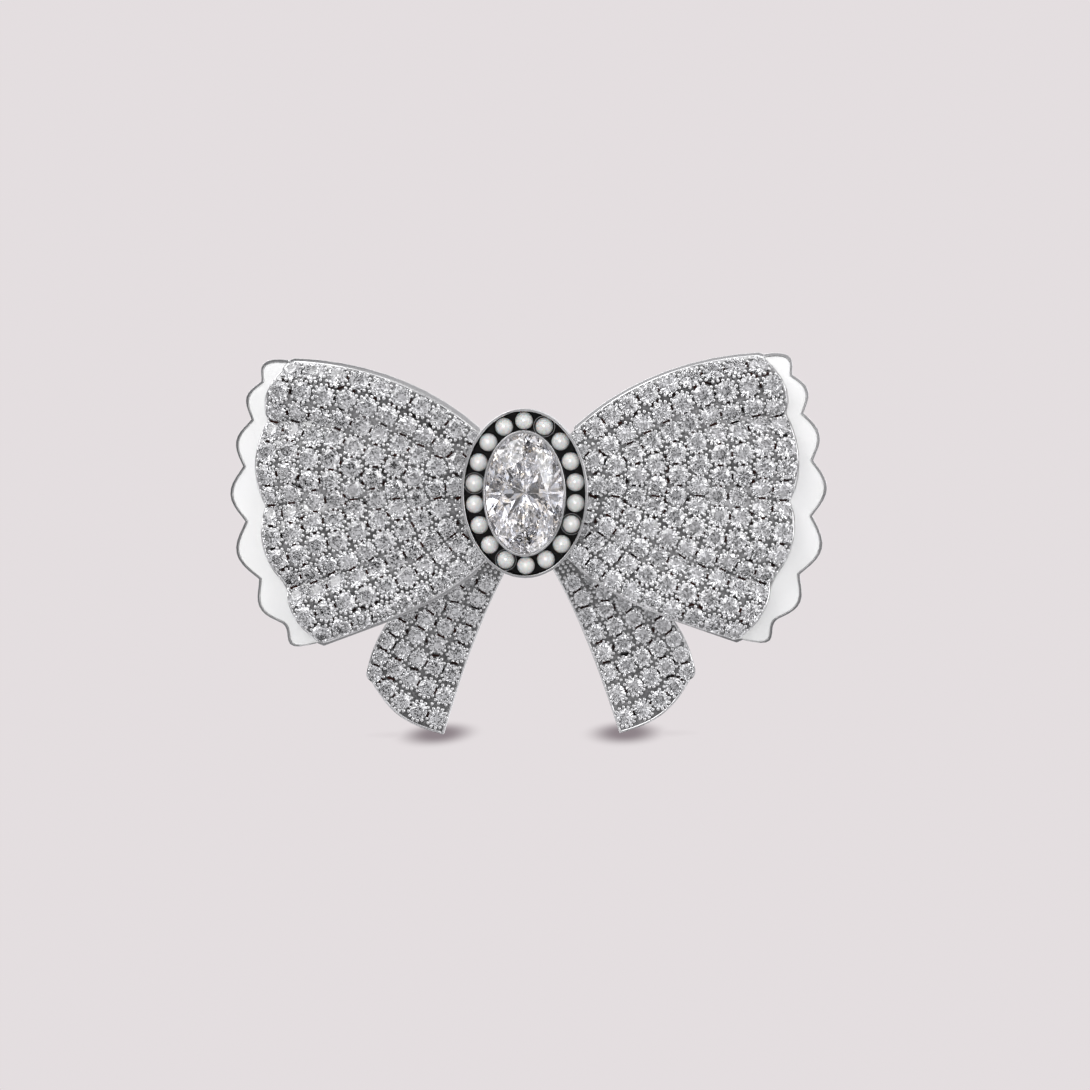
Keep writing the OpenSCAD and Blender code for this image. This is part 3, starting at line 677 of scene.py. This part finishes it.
def pave(part, side_name, seats, grid, ring, back_y, inside, fillers, seed):
    """The sheet, its edge wire, its beads, its saw cuts and its stones."""
    side = SIDES[side_name]
    rng = random.Random(seed)
    points, nu, nv = grid
    sheet_points, sheet_faces = block_under(points, nu, nv, back_y)
    sheet = add_object(f"{side_name}_{part}_sheet",
                       mesh_from(f"{part}_sheet", sheet_points, sheet_faces, side, smooth=True))
    sizes = stone_sizes(seats)
    cut_seats(sheet, seats, sizes, side)
    soften(sheet.data, 40)
    # Forward faces take the darkened silver as painted shade between the stones; walls and back keep the
    # plain polished silver.
    finish(sheet, SHADED_SHEET_METAL)
    sheet.data.materials.append(SILVER)
    for poly in sheet.data.polygons:
        poly.material_index = 1 if poly.normal.y > -0.3 else 0
    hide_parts(f"{side_name}_{part}_plate")

    wire = add_object(f"{side_name}_{part}_edge_wire", edge_wire(f"{part}_wire", ring, side))
    finish(wire, SILVER)

    beads = add_object(f"{side_name}_{part}_beads", join_copies(
        f"{part}_beads", bead(BEAD_R), bead_places(seats, inside, fillers), side, smooth=True))
    finish(beads, PAVE_METAL)

    cuts = add_object(f"{side_name}_{part}_saw_cuts", join_copies(
        f"{part}_cuts", saw_cut(), cut_places(seats, rng), side))
    finish(cuts, SAW_CUT)

    places = []
    for (p, n, _), size in zip(seats, sizes):
        lean = Vector([rng.uniform(-1, 1) for _ in range(3)]) * STONE_LEAN
        places.append(stone_place(p, (n + lean).normalized(), size, rng.uniform(0, math.pi / 4)))
    stones = add_object(f"{side_name}_{part}_brilliants",
                        join_copies(f"{part}_brilliants", brilliant(*ROUND_CUT), places, side))
    finish(stones, ROUND_STONE)
    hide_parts(f"{side_name}_{part}_stones")


def make_wing(side_name, seed):
    nu, nv = WING_GRID
    points = [wing_point(i / (nu - 1), j / (nv - 1)) - Vector((0, SHEET_LIFT, 0))
              for i in range(nu) for j in range(nv)]
    edge = [points[k] + Vector((0, WIRE_DROP, 0)) for k in border(nu, nv)]

    def inside(p):
        r, a = math.hypot(p.x, p.z), math.degrees(math.atan2(p.z, p.x))
        low, top = parabola(r, WING_LOW), parabola(r, WING_TOP)
        margin = math.degrees(EDGE_MARGIN / r)
        if not low + margin < a < top - margin:
            return False
        _, chord, swell = lobe((a - low) / (top - low))
        beyond_rim = math.hypot(p.x / (RIM_A - 0.1), p.z / (RIM_B - 0.1)) > 1
        return beyond_rim and r < chord + swell - EDGE_MARGIN

    fillers = [(wing_at(r, v), wing_normal(r, v))
               for r in (6 + 0.45 * i for i in range(14))
               for v in (0.01 + 0.98 * j / 44 for j in range(45))]
    pave("wing", side_name, wing_seats(), (points, nu, nv), edge,
         lambda p: -WING_FOOT, inside, fillers, seed)


def make_tail(side_name, seed):
    nu, nv = TAIL_GRID
    points = [tail_point(1 - j / (nv - 1), mix(TAIL_FROM, 1, i / (nu - 1))) - Vector((0, SHEET_LIFT, 0))
              for i in range(nu) for j in range(nv)]
    edge = [points[k] + Vector((0, WIRE_DROP, 0)) for k in border(nu, nv)]
    ring = [(p.x, p.z) for p in edge]

    def inside(p):
        hit = False
        for (x0, z0), (x1, z1) in zip(ring, ring[1:] + ring[:1]):
            if (z0 > p.z) != (z1 > p.z) and p.x < x0 + (p.z - z0) / (z1 - z0) * (x1 - x0):
                hit = not hit
        return hit and min(math.hypot(p.x - x, p.z - z) for x, z in ring) > EDGE_MARGIN

    fillers = [(tail_point(i / 20, j / 40), tail_normal(i / 20, j / 40))
               for j in range(4, 40) for i in range(1, 20)]
    pave("tail", side_name, tail_seats(), (points, nu, nv), edge,
         lambda p: p.y + TAIL_WALL + SHEET_LIFT, inside, fillers, seed)


# --- Carried-over metal, with its edges broken -------------------------------------------------
def refined(node, material, width=0.05, body="bow"):
    """A copy of a CAD node with clean faces and small rounded edges, in its place."""
    mesh = frame["nodes"][node].data.copy()
    bm = bmesh.new()
    bm.from_mesh(mesh)
    bmesh.ops.remove_doubles(bm, verts=bm.verts, dist=2e-6)
    bmesh.ops.dissolve_limit(bm, angle_limit=math.radians(0.5), verts=bm.verts, edges=bm.edges)
    bm.to_mesh(mesh)
    bm.free()
    obj = add_object(f"{node}_finished", mesh, body)
    modifier = obj.modifiers.new("edges", "BEVEL")
    modifier.width = width * MM
    modifier.segments = 2
    modifier.limit_method = "ANGLE"
    modifier.angle_limit = math.radians(40)
    modifier.use_clamp_overlap = True
    apply_modifiers(obj)
    soften(obj.data, 35)
    steady = obj.modifiers.new("flat_faces", "WEIGHTED_NORMAL")
    steady.keep_sharp = True
    apply_modifiers(obj)
    finish(obj, material)
    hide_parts(node)
    return obj


def make_metalwork():
    for side_name in SIDES:
        refined(f"{side_name}_enamel_tray", SILVER, 0.06)
        refined(f"{side_name}_enamel_fill", ENAMEL, 0.16)
    for node in ("medallion_cup", "centre_bezel", "back_bridge", "bridge_rivets", "hinge_bracket",
                 "hinge_rivet", "catch_body"):
        refined(node, SILVER)
    refined("channel_floor", BLACK, 0.02)
    refined("pearl_pegs", SILVER, 0.02)
    refined("pin_stem", PIN_METAL, 0.04, "pin")
    refined("catch_rotor", SILVER, 0.05, "rotor")


# --- Medallion --------------------------------------------------------------------------------
CUPPED_PEARLS = ("pearl_02", "pearl_07", "pearl_11", "pearl_15")
# A cup's section, in pearl radii: distance from the pearl's axis, and rise from its centre
CUP_PROFILE = ((0.75, -0.8), (1.16, -0.8), (1.22, -0.15), (1.18, 0.1), (1.15, 0.1), (1.04, -0.2),
               (0.85, -0.6))


def make_pearls(rng):
    for node in sorted(n for n in frame["nodes"] if n.startswith("pearl_") and n[6:].isdigit()):
        low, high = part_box(node)
        centre = (Vector(low) + Vector(high)) / 2
        radius = (high[0] - low[0]) / 2
        bm = bmesh.new()
        bmesh.ops.create_icosphere(bm, subdivisions=4, radius=radius)
        squash = [1 - rng.uniform(0, 0.02) for _ in range(3)]
        for vert in bm.verts:
            vert.co = Vector(c * s for c, s in zip(vert.co, squash))
        mesh = bpy.data.meshes.new(f"{node}_nacre")
        bm.to_mesh(mesh)
        bm.free()
        mesh.transform(Matrix.Translation(centre))
        for poly in mesh.polygons:
            poly.use_smooth = True
        obj = add_object(f"{node}_nacre", mesh)
        finish(obj, PEARL)
        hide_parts(node)


def make_pearl_cups():
    """Four of the pearls stand in silver cups that show round them."""
    around = 48
    for node in CUPPED_PEARLS:
        low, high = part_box(node)
        centre = (Vector(low) + Vector(high)) / 2
        radius = (high[0] - low[0]) / 2 / MM
        points, faces = [], []
        for share, rise in CUP_PROFILE:
            r = share * radius
            for j in range(around):
                turn = 2 * math.pi * j / around
                points.append(Vector((centre.x / MM + r * math.cos(turn), centre.y / MM - rise * radius,
                                      centre.z / MM + r * math.sin(turn))))
        for k in range(len(CUP_PROFILE)):
            n = (k + 1) % len(CUP_PROFILE)
            for j in range(around):
                m = (j + 1) % around
                faces.append((k * around + j, k * around + m, n * around + m, n * around + j))
        obj = add_object(f"{node}_cup", mesh_from(f"{node}_cup", points, faces))
        soften(obj.data, 50)
        finish(obj, PAVE_METAL)


def make_centre_stone():
    low, high = (Vector(c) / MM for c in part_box("centre_stone"))
    a, b = (high.x - low.x) / 2, (high.z - low.z) / 2
    crown_h = CENTRE_GIRDLE_Y - low.y
    points, faces = brilliant(0.58, crown_h, CENTRE_GIRDLE_T, CENTRE_PAVILION_H,
                              halves=0.25, mid=(0.8, 0.55))
    points = [Vector((x * a, CENTRE_GIRDLE_Y + CENTRE_GIRDLE_T - z, y * b)) for x, y, z in points]
    obj = add_object("centre_stone_facets", mesh_from("centre_stone_facets", points, faces))
    finish(obj, CENTRE_STONE)
    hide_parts("centre_stone")
    make_centre_seat(a, b)


def make_centre_seat(a, b):
    """The bright cup that follows the stone's pavilion."""
    around, steps, gap, wall = 72, 12, 0.05, 0.1
    points, faces = [], []
    for layer in (gap, gap + wall):
        for k in range(steps):
            share = mix(0.86, 0.04, k / (steps - 1))
            for j in range(around):
                turn = 2 * math.pi * j / around
                points.append(Vector(((a * share + layer) * math.cos(turn),
                                      CENTRE_GIRDLE_Y + CENTRE_PAVILION_H * (1 - share) + layer,
                                      (b * share + layer) * math.sin(turn))))
    outer = steps * around
    for k in range(steps - 1):
        for j in range(around):
            m = (j + 1) % around
            p, q = k * around, (k + 1) * around
            faces.append((p + j, p + m, q + m, q + j))
            faces.append((outer + p + m, outer + p + j, outer + q + j, outer + q + m))
    last = (steps - 1) * around
    for j in range(around):
        m = (j + 1) % around
        faces.append((j, outer + j, outer + m, m))
    faces.append(tuple(last + j for j in range(around)))
    faces.append(tuple(outer + last + j for j in range(around - 1, -1, -1)))
    obj = add_object("centre_stone_seat", mesh_from("centre_stone_seat", points, faces))
    soften(obj.data, 40)
    finish(obj, SILVER)


# --- Studio -----------------------------------------------------------------------------------
BACKDROP = (0.775, 0.731, 0.745)
SHADOW = (0.27, 0.23, 0.25)
SHADOW_X, SHADOW_Y = 0.0095, -0.002
SHADOW_SIZE = (0.005, 0.014)


def shadow_spots(tree, coordinates):
    """How much each tail's foot darkens the floor: soft ellipses, deeper than they are wide."""
    total = None
    for x in (-SHADOW_X, SHADOW_X):
        shift = tree.nodes.new("ShaderNodeMapping")
        shift.vector_type = "TEXTURE"
        shift.inputs["Location"].default_value = (x, SHADOW_Y, 0)
        shift.inputs["Scale"].default_value = (*SHADOW_SIZE, 1)
        length = tree.nodes.new("ShaderNodeVectorMath")
        length.operation = "LENGTH"
        fade = tree.nodes.new("ShaderNodeMapRange")
        fade.interpolation_type = "SMOOTHERSTEP"
        fade.inputs["From Min"].default_value = 0.1
        fade.inputs["To Min"].default_value = 1
        fade.inputs["To Max"].default_value = 0
        tree.links.new(coordinates, shift.inputs["Vector"])
        tree.links.new(shift.outputs["Vector"], length.inputs[0])
        tree.links.new(length.outputs["Value"], fade.inputs["Value"])
        if total is None:
            total = fade.outputs["Result"]
        else:
            add = tree.nodes.new("ShaderNodeMath")
            tree.links.new(total, add.inputs[0])
            tree.links.new(fade.outputs["Result"], add.inputs[1])
            total = add.outputs["Value"]
    return total


def make_floor():
    low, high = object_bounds()
    bm = bmesh.new()
    bmesh.ops.create_circle(bm, cap_ends=True, radius=0.5, segments=96)
    mesh = bpy.data.meshes.new("floor")
    bm.to_mesh(mesh)
    bm.free()
    floor = bpy.data.objects.new("floor", mesh)
    floor.location.z = low[2]
    bpy.context.scene.collection.objects.link(floor)
    mat = bpy.data.materials.new("floor")
    mat.use_nodes = True
    tree = mat.node_tree
    tree.nodes.clear()
    out = tree.nodes.new("ShaderNodeOutputMaterial")
    emission = tree.nodes.new("ShaderNodeEmission")
    coordinates = tree.nodes.new("ShaderNodeTexCoord").outputs["Object"]
    # Painted shadow: the floor only glows, and an occlusion term and the ellipses of shadow_spots mix
    # SHADOW into its colour.
    occlusion = tree.nodes.new("ShaderNodeAmbientOcclusion")
    occlusion.inputs["Distance"].default_value = 0.004
    near = mapped(tree, occlusion.outputs["AO"], 0.45, 0)
    both = tree.nodes.new("ShaderNodeMath")
    both.operation = "MAXIMUM"
    colour = tree.nodes.new("ShaderNodeMix")
    colour.data_type = "RGBA"
    colour.inputs[6].default_value = (*BACKDROP, 1)
    colour.inputs[7].default_value = (*SHADOW, 1)
    tree.links.new(shadow_spots(tree, coordinates), both.inputs[0])
    tree.links.new(near, both.inputs[1])
    tree.links.new(both.outputs["Value"], colour.inputs[0])
    tree.links.new(colour.outputs[2], emission.inputs["Color"])
    bounce = tree.nodes.new("ShaderNodeEmission")
    bounce.inputs["Color"].default_value = (0.74, 0.74, 0.75, 1)
    path = tree.nodes.new("ShaderNodeLightPath")
    blend = tree.nodes.new("ShaderNodeMixShader")
    tree.links.new(path.outputs["Is Camera Ray"], blend.inputs["Fac"])
    tree.links.new(bounce.outputs[0], blend.inputs[1])
    tree.links.new(emission.outputs[0], blend.inputs[2])
    tree.links.new(blend.outputs[0], out.inputs["Surface"])
    mesh.materials.append(mat)
    floor.visible_glossy = False
    floor.visible_transmission = False


# The studio that the metal and stones mirror: soft bright and dark panels, and a darker round patch
# about the camera, given by the cosines at which it starts and is full, and by how dark it is
PANEL_SCALE, PANEL_LEVELS = 3.2, (0.07, 1.3)
PATCH_FROM, PATCH_FULL, PATCH_LEVEL = 0.82, 0.92, 0.42


def make_world():
    world = bpy.data.worlds.new("studio")
    bpy.context.scene.world = world
    world.use_nodes = True
    tree = world.node_tree
    background = tree.nodes["Background"]
    seen = tree.nodes.new("ShaderNodeBackground")
    seen.inputs["Color"].default_value = (*BACKDROP, 1)
    background.inputs["Color"].default_value = (0.98, 0.97, 1, 1)
    coordinates = tree.nodes.new("ShaderNodeTexCoord")
    panels = tree.nodes.new("ShaderNodeTexNoise")
    panels.inputs["Scale"].default_value = PANEL_SCALE
    panels.inputs["Detail"].default_value = 1.5
    level = tree.nodes.new("ShaderNodeMapRange")
    level.interpolation_type = "SMOOTHSTEP"
    level.inputs["From Min"].default_value = 0.43
    level.inputs["From Max"].default_value = 0.57
    level.inputs["To Min"].default_value, level.inputs["To Max"].default_value = PANEL_LEVELS
    tree.links.new(coordinates.outputs["Generated"], panels.inputs["Vector"])
    tree.links.new(panels.outputs["Fac"], level.inputs["Value"])
    facing = tree.nodes.new("ShaderNodeVectorMath")
    facing.operation = "DOT_PRODUCT"
    facing.inputs[1].default_value = (0, -1, 0)
    shade = tree.nodes.new("ShaderNodeMapRange")
    shade.interpolation_type = "SMOOTHSTEP"
    shade.inputs["From Min"].default_value = PATCH_FROM
    shade.inputs["From Max"].default_value = PATCH_FULL
    shade.inputs["To Min"].default_value = 1
    shade.inputs["To Max"].default_value = PATCH_LEVEL
    tree.links.new(coordinates.outputs["Generated"], facing.inputs[0])
    tree.links.new(facing.outputs["Value"], shade.inputs["Value"])
    strength = tree.nodes.new("ShaderNodeMath")
    strength.operation = "MULTIPLY"
    tree.links.new(level.outputs["Result"], strength.inputs[0])
    tree.links.new(shade.outputs["Result"], strength.inputs[1])
    tree.links.new(strength.outputs["Value"], background.inputs["Strength"])
    path = tree.nodes.new("ShaderNodeLightPath")
    blend = tree.nodes.new("ShaderNodeMixShader")
    tree.links.new(path.outputs["Is Camera Ray"], blend.inputs["Fac"])
    tree.links.new(background.outputs[0], blend.inputs[1])
    tree.links.new(seen.outputs[0], blend.inputs[2])
    tree.links.new(blend.outputs[0], tree.nodes["World Output"].inputs["Surface"])


# Lights that face the origin: name, place, size, power, and the word in the names of the pieces
# that a light is kept to, or None for all
LIGHTS = (
    ("key_light", (-0.55, -0.45, 0.7), (0.8, 0.8), 3.6, None),
    ("fill_light", (0.75, -0.45, 0.3), (0.4, 0.8), 2.2, None),
    ("top_light", (0, -0.1, 0.9), (0.9, 0.5), 1.8, None),
    ("back_light", (0.2, 0.8, 0.4), (0.6, 0.5), 1.2, None),
    ("pearl_light", (-0.04, -0.42, 0.06), (0.12, 0.12), 1.4, "nacre"),
    ("enamel_light", (-0.1, -0.5, 0.1), (0.3, 0.3), 0.5, "enamel_fill"),
)


def softbox(name, place, size, power, only):
    data = bpy.data.lights.new(name, "AREA")
    data.shape = "RECTANGLE"
    data.size, data.size_y = size
    data.energy = power
    lamp = bpy.data.objects.new(name, data)
    lamp.location = place
    lamp.rotation_euler = (-Vector(place)).to_track_quat("-Z", "Y").to_euler()
    bpy.context.scene.collection.objects.link(lamp)
    if only:
        lit = bpy.data.collections.new(f"{name}_lit")
        for obj in [o for o in bpy.context.scene.objects if only in o.name]:
            lit.objects.link(obj)
        lamp.light_linking.receiver_collection = lit


CAMERA_ANGLES = (3, 3, -0.7)  # azimuth, elevation and roll, in degrees
CAMERA_DISTANCE, CAMERA_LENS = 0.303, 100
CAMERA_TARGET = (0.0017, -0.004, -0.00535)


def make_camera():
    azimuth, elevation, roll = (math.radians(angle) for angle in CAMERA_ANGLES)
    away = Vector((math.sin(azimuth) * math.cos(elevation), -math.cos(azimuth) * math.cos(elevation),
                   math.sin(elevation)))
    data = bpy.data.cameras.new("camera")
    data.lens = CAMERA_LENS
    data.clip_start = 0.005
    camera = bpy.data.objects.new("camera", data)
    camera.matrix_world = (Matrix.Translation(Vector(CAMERA_TARGET) + away * CAMERA_DISTANCE)
                           @ (-away).to_track_quat("-Z", "Y").to_matrix().to_4x4()
                           @ Matrix.Rotation(roll, 4, "Z"))
    bpy.context.scene.collection.objects.link(camera)
    bpy.context.scene.camera = camera


make_camera()
for number, side_name in enumerate(SIDES):
    make_wing(side_name, 11 + number)
    make_tail(side_name, 31 + number)
make_metalwork()
make_pearls(random.Random(5))
make_pearl_cups()
make_centre_stone()
make_world()
for light in LIGHTS:
    softbox(*light)
make_floor()
bpy.context.scene.view_settings.view_transform = "Standard"
bpy.context.scene.cycles.max_bounces = 28
bpy.context.scene.cycles.glossy_bounces = 20
bpy.context.scene.cycles.transmission_bounces = 20
